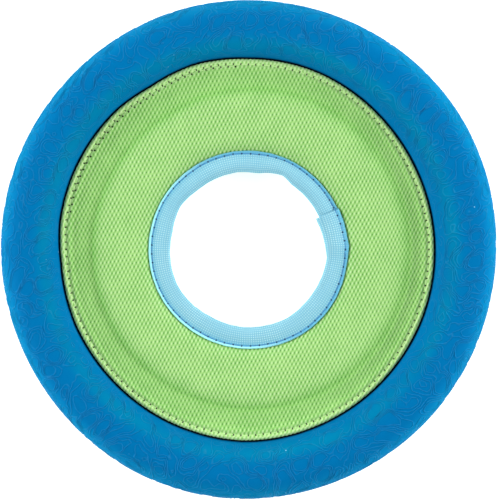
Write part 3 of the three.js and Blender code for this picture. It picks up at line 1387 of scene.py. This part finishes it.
        # painted light that lifts the hem's colour towards its outer fold
        paint_points(panel, FOLD_LIGHT, self.fold_lightening * smooth_step(*self.painted_lightening, polar(flat)[0]))
        # painted shade at the core's foot and beyond the core
        paint_points(panel, PAINTED_SHADE, self._shade_share(flat))
        return installed(panel, "panel_cloth", f"{side}_panel")


# ---- Hole binding ----


@dataclass
class HoleBinding:
    """A length of tape folded over the raw edges round the grip hole, its tail lapped over its head."""

    hole_radius: float = HOLE_RADIUS
    edge_radius: float = half_span("hole_binding")
    thickness: float = 0.6 * MM
    head: float = 4.0  # direction of its hidden end, in degrees
    tail: float = 24.4  # direction of its end on top, in degrees
    lift: float = 0.65 * MM  # how far the tail stands on the head
    fold_lift: float = 1.0 * MM  # how much further its fold stands in by its cut end
    fold_share: float = 0.16  # share of the tape's width over which that dies away
    climb: tuple[float, float] = (348.0, 359.5)  # degrees past the head between which the tail climbs it
    stands_from: float = 356.0  # degrees past the head where the tail's fold starts to stand in
    stands_to: float = 362.0  # degrees past the tail's end where it would stand in fully
    ripple: float = 0.05 * MM
    ripples: tuple[int, int] = (41, 7)  # waves round the hole, and how often they swell
    needle_reach: float = 0.45 * MM
    highlight_side: float = 205.0  # direction in which the outer edge's painted highlight is strongest, in degrees
    highlight_side_ease: tuple[float, float] = (-0.2, 0.5)  # cosines off that direction where it starts and is full
    crease_width: float = 0.3 * MM
    crease_shade: float = 0.5
    inner_shade: tuple[float, float] = (0.15, 0.3)  # painted shade inside the seam: everywhere, and more towards the highlight's side
    inner_shading: tuple[float, float] = (-2.4 * MM, -0.2 * MM)  # from the seam
    outer_shade: float = 0.75  # painted shade outside the seam, away from the highlight's side
    lip_from: tuple[float, float] = (0.2 * MM, 0.4 * MM)  # from the seam
    corner_ease: float = 0.4 * MM
    section_points: int = 400
    steps: int = 540
    across: int = 60

    def _section(self) -> tuple[np.ndarray, np.ndarray]:
        """The outer face of the folded tape.

        Returns:
            Radii and heights, from the upper edge to the lower one.
        """
        hole, edge = self.hole_radius, self.edge_radius
        leg = [
            (edge, 1.55 * MM),
            (edge - 0.3 * MM, 1.8 * MM),
            (edge - 0.65 * MM, 1.65 * MM),
            (HOLE_SEAM_RADIUS + 0.05 * MM, SEAM_PINCH),
            (HOLE_SEAM_RADIUS - 0.6 * MM, SEAM_PINCH + 0.3 * MM),
            (HOLE_SEAM_RADIUS - 1.9 * MM, 1.85 * MM),
            (hole + 4.6 * MM, 2.25 * MM),
            (hole + 2.6 * MM, 2.2 * MM),
            (hole + 1.2 * MM, 1.75 * MM),
            (hole + 0.35 * MM, 1.0 * MM),
            (hole, 0.0),
        ]
        upper = np.array(leg)
        lower = upper[-2::-1] * (1, -1)
        line = np.vstack((upper, lower)).T
        along = lengths_along(*line)
        fine = np.linspace(0, along[-1], self.section_points)
        radius, height = (eased_curve(list(zip(along, part)), self.corner_ease)(fine) for part in line)
        return radius, height

    def _tape(self, across: np.ndarray, depth: np.ndarray) -> tuple[np.ndarray, np.ndarray]:
        """Places in the folded tape's section.

        Args:
            across: Shares of the way across the tape, from its upper edge to its lower one.
            depth: How far below the outer face, in metres.

        Returns:
            Radii and heights.
        """
        radius, height = self._section()
        share = np.linspace(0, 1, len(radius))
        dr, dh = np.gradient(radius), np.gradient(height)
        size = np.hypot(dr, dh)
        out_r, out_h = dh / size, -dr / size
        r = np.interp(across, share, radius) - depth * np.interp(across, share, out_r)
        h = np.interp(across, share, height) - depth * np.interp(across, share, out_h)
        return r, h

    @property
    def sweep(self) -> float:
        """How far round the hole the tape goes, with its lap, in radians."""
        return math.radians(360 + self.tail - self.head)

    @property
    def length(self) -> float:
        """The tape's length, with its lap."""
        return self.sweep * (self.hole_radius + self.edge_radius) / 2

    @property
    def width(self) -> float:
        """The tape's width when it is flat."""
        return float(lengths_along(*self._section())[-1])

    def _lapped(self, turn: np.ndarray) -> np.ndarray:
        """How far the tail has climbed onto the head, from 0 to 1, along the tape."""
        return smooth_step(*(math.radians(self.head + degrees) for degrees in self.climb), turn)

    def _lay(self, along: np.ndarray, across: np.ndarray) -> tuple[np.ndarray, np.ndarray, np.ndarray]:
        """Folds the tape round the hole.

        Args:
            along: Shares of its length, from its head.
            across: Shares of its width, from its upper edge.

        Returns:
            Angles round the hole, radii and heights.
        """
        turn = math.radians(self.head) + along * self.sweep
        at_fold = closeness(across, 0.5, self.fold_share)
        starts, ends = self.head + self.stands_from, self.tail + self.stands_to
        at_tail = smooth_step(math.radians(starts), math.radians(ends), turn)
        depth = -self.lift * self._lapped(turn) - self.fold_lift * at_fold * at_tail
        radius, height = self._tape(across, depth)
        return turn, radius, height

    def _dress(
        self, tape: bpy.types.Object, turn: np.ndarray, radius: np.ndarray, edge: np.ndarray
    ) -> None:
        """Paints shade into the needle holes and the crease that the seam draws, and a highlight onto the
        lip outside it.

        Args:
            tape: The tape, before it gets its thickness.
            turn: Each point's angle round the hole.
            radius: Each point's radius.
            edge: Each point's length along the tape's width from the nearer edge.
        """
        flat = np.column_stack((radius * np.cos(turn), radius * np.sin(turn)))
        in_seam = edge < self.edge_radius - self.hole_radius
        paint_points(tape, NEEDLE_HOLE, HOLE_ROWS[0].nearness(flat, self.needle_reach) * in_seam)
        outside = radius - HOLE_SEAM_RADIUS
        # the lip's painted highlight is strongest towards one side, the outer band's painted shade away
        # from it
        highlight_side = smooth_step(*self.highlight_side_ease, np.cos(turn - math.radians(self.highlight_side)))
        always, more = self.inner_shade
        crease = self.crease_shade * closeness(outside, 0.0, self.crease_width)
        crease += (always + more * highlight_side) * smooth_step(*self.inner_shading, outside) * (outside < 0)
        outer_painted_shade = self.outer_shade * (1 - highlight_side) * (outside > 0)
        paint_points(tape, CREASE, np.maximum(crease, outer_painted_shade))
        paint_points(tape, LIP_HIGHLIGHT, smooth_step(*self.lip_from, outside) * highlight_side)

    def face(self, angle: float) -> float:
        """Height of the tape under the hole seam's stitches, which lie on the tail where it laps.

        Args:
            angle: Direction from the ring's middle, in radians.

        Returns:
            The height above the middle plane.
        """
        degrees = math.degrees(angle) % 360
        turn = degrees + 360 if degrees < self.tail else degrees
        return SEAM_PINCH + self.lift * float(self._lapped(np.radians([turn]))[0])

    def build(self, finish: WovenTape) -> bpy.types.Object:
        """Makes the binding.

        Args:
            finish: The tape's material.

        Returns:
            The binding, installed.
        """
        bm = bmesh.new()
        bmesh.ops.create_grid(bm, x_segments=self.steps, y_segments=self.across, size=0.5)
        along, across = points_of(bm)[:, :2].T + 0.5
        turn, radius, height = self._lay(along, across)
        waves, swells = self.ripples
        ripple = self.ripple * np.sin(turn * waves) * np.cos(turn * swells)
        place_points(bm, drawn_out_of_round(on_circle(radius + ripple, turn, height)))
        binding = finished("hole_binding_tape", bm, finish.material())
        width, length = self.width, self.length
        map_points(binding, TAPE_MAP, np.column_stack((along * length, across * width)) / MM)
        self._dress(binding, turn, radius, np.minimum(across, 1 - across) * width)
        solid = binding.modifiers.new("tape_thickness", "SOLIDIFY")
        solid.thickness = self.thickness
        solid.offset = -1
        return installed(binding, "binding_tape", "hole_binding")


# ---- Threads ----


HEM_HEIGHT = 3.0 * MM


def hem_face(_angle: float) -> float:
    """Height of the cloth's hem under the rim seam's stitches, which is the same at every angle."""
    return HEM_HEIGHT


@dataclass
class SeamThread:
    """A thread as the row of stitches that shows on one face of a seam."""

    name: str
    side: Side
    rows: tuple[SeamRow, ...]
    face: Callable[[float], float]  # height of the layer that it lies on, at each angle
    thread_radius: float = 0.19 * MM
    dip: float = 0.45 * MM  # how far each stitch's ends go down into their holes
    reach: float = 0.86  # share of the way from hole to hole that each stitch spans
    sections: int = 6
    sides: int = 7
    standing: float = 0.7  # how much of the thread's radius the stitch's middle stands above the layer
    narrowing: float = 0.3  # how much narrower the thread gets where it goes into a hole
    steepness: int = 4  # power of the way to the hole by which the stitch dips and narrows

    def _stitch(self, span: float) -> bpy.types.Mesh:
        """One stitch along +X, arched between its two holes.

        Args:
            span: From hole to hole.

        Returns:
            Its mesh, which is used for every stitch of the row.
        """
        bm = bmesh.new()
        bmesh.ops.create_cone(
            bm,
            cap_ends=True,
            segments=self.sides,
            radius1=self.thread_radius,
            radius2=self.thread_radius,
            depth=span * self.reach,
            matrix=Matrix.Rotation(math.pi / 2, 4, "Y"),
        )
        for step in range(1, self.sections):
            place = (step / self.sections - 0.5) * span * self.reach
            bmesh.ops.bisect_plane(
                bm,
                geom=bm.verts[:] + bm.edges[:] + bm.faces[:],
                plane_co=(place, 0, 0),
                plane_no=(1, 0, 0),
            )
        for vert in bm.verts:
            share = abs(2 * vert.co.x / span) ** self.steepness
            vert.co.z += self.thread_radius * self.standing - self.dip * share
            vert.co.y *= 1 - self.narrowing * share
        mesh = bpy.data.meshes.new("stitch")
        bm.to_mesh(mesh)
        bm.free()
        return mesh

    def build(self, finish: BondedThread, slot: str, node: str) -> bpy.types.Object:
        """Makes the row.

        Args:
            finish: The thread's material.
            slot: The record's material slot.
            node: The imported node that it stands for.

        Returns:
            The thread, installed.
        """
        bm = bmesh.new()
        for row in self.rows:
            radii, angles = row.holes()
            stitch = self._stitch(row.pitch)
            for i in range(row.count):
                first = len(bm.verts)
                bm.from_mesh(stitch)
                bm.verts.ensure_lookup_table()
                middle = (angles[i] + angles[i + 1]) / 2
                radius = (radii[i] + radii[i + 1]) / 2
                lean = math.atan2(radii[i] - radii[i + 1], row.pitch)
                matrix = (
                    Matrix.Translation(Vector(on_circle(radius, middle, self.face(middle))[0]))
                    @ Matrix.Rotation(middle + math.pi / 2 + lean, 4, "Z")
                )
                bmesh.ops.transform(bm, matrix=matrix, verts=bm.verts[first:])
            bpy.data.meshes.remove(stitch)
        place_on_side(bm, drawn_out_of_round(points_of(bm)), self.side)
        return installed(finished(self.name, bm, finish.material()), slot, node)


# ---- Studio ----


@dataclass(frozen=True)
class SoftBox:
    """A large soft light that faces the ring."""

    name: str
    place: tuple[float, float, float]
    size: tuple[float, float]
    power: float

    def build(self) -> None:
        """Hangs the light and turns it to the ring."""
        lamp = bpy.data.lights.new(self.name, "AREA")
        lamp.shape = "RECTANGLE"
        lamp.size, lamp.size_y = self.size
        lamp.energy = self.power
        obj = bpy.data.objects.new(self.name, lamp)
        obj.location = self.place
        obj.rotation_euler = Vector(self.place).to_track_quat("Z", "Y").to_euler()
        bpy.context.scene.collection.objects.link(obj)


@dataclass
class Studio:
    """A plain white table under soft boxes, and a camera straight above the ring."""

    camera_height: float = 1.3
    frame_width: float = 216.35 * MM  # what the camera spans at the ring's widest height
    aim: tuple[float, float] = (0.07 * MM, -0.22 * MM)
    table_size: float = 3.0
    table_gap: float = 0.05 * MM
    table_colour: str = "fcfcfc"
    table_roughness: float = 0.8
    table_glow: float = 0.56  # keeps the table pure white, as a lit sweep is
    air_glow: float = 0.12
    far_clip: float = 20.0
    boxes: tuple[SoftBox, ...] = (
        SoftBox("left_box", (-1.2, 0.0, 0.57), (1.2, 0.6), 20.8),
        SoftBox("right_box", (1.2, 0.05, 0.57), (1.2, 0.6), 20.8),
        SoftBox("back_box", (0.1, 1.2, 0.52), (1.2, 0.6), 10.5),
        SoftBox("front_box", (0.0, -1.2, 0.55), (1.2, 0.6), 4.6),
    )

    def _table(self) -> None:
        """Lays the white table under the ring."""
        bm = bmesh.new()
        bmesh.ops.create_grid(bm, x_segments=2, y_segments=2, size=self.table_size)
        bmesh.ops.translate(bm, vec=(0, 0, -self.table_gap), verts=bm.verts)
        sheet = NodeSheet("matt_white_laminate")
        shader = sheet.add(
            "BsdfPrincipled",
            Base_Color=linear(self.table_colour),
            Roughness=self.table_roughness,
            Emission_Color=WHITE,
            Emission_Strength=self.table_glow,
        )
        finished("table", bm, sheet.finish(shader))

    def _camera(self) -> None:
        """Sets the camera straight above, with the top of its view along +Y."""
        data = bpy.data.cameras.new("camera")
        data.sensor_fit = "HORIZONTAL"
        data.lens = data.sensor_width * self.camera_height / self.frame_width
        data.clip_end = self.far_clip
        camera = bpy.data.objects.new("camera", data)
        camera.location = (*self.aim, MID_HEIGHT + self.camera_height)
        bpy.context.scene.collection.objects.link(camera)
        bpy.context.scene.camera = camera

    def build(self) -> None:
        """Sets up the whole studio."""
        scene = bpy.context.scene
        scene.view_settings.view_transform = "Standard"
        world = bpy.data.worlds.new("studio_air")
        world.use_nodes = True
        back = world.node_tree.nodes["Background"]
        back.inputs["Color"].default_value = WHITE
        back.inputs["Strength"].default_value = self.air_glow
        scene.world = world
        self._camera()
        self._table()
        for box in self.boxes:
            box.build()


# ---- The whole ring ----


def main() -> None:
    """Builds the studio and every piece of the ring, from the rim inwards."""
    logging.basicConfig(level=logging.INFO, format="%(name)s: %(message)s")
    Studio().build()
    Rim().build(SkinnedFoamRubber())
    SewingFlange().build(StripRubber())
    FoamCore().build(CellFoam())
    for side in Side:
        ClothPanel(side).build(HeavyNylonCloth())
    binding = HoleBinding()
    binding.build(WovenTape())
    green = BondedThread("green_thread", "d6f5ac", "aade80")
    blue = BondedThread("blue_thread", "3f8fc6", "2a6aa6")
    for seam, rows, face, finish in (
        ("rim_seam", RIM_ROWS, hem_face, green),
        ("hole_seam", HOLE_ROWS, binding.face, blue),
    ):
        for thread, side in (("needle", Side.UPPER), ("bobbin", Side.LOWER)):
            row = SeamThread(f"{seam}_{thread}_stitches", side, rows, face)
            row.build(finish, finish.name, f"{seam}_{thread}_thread")


if __name__ == "__main__":
    main()
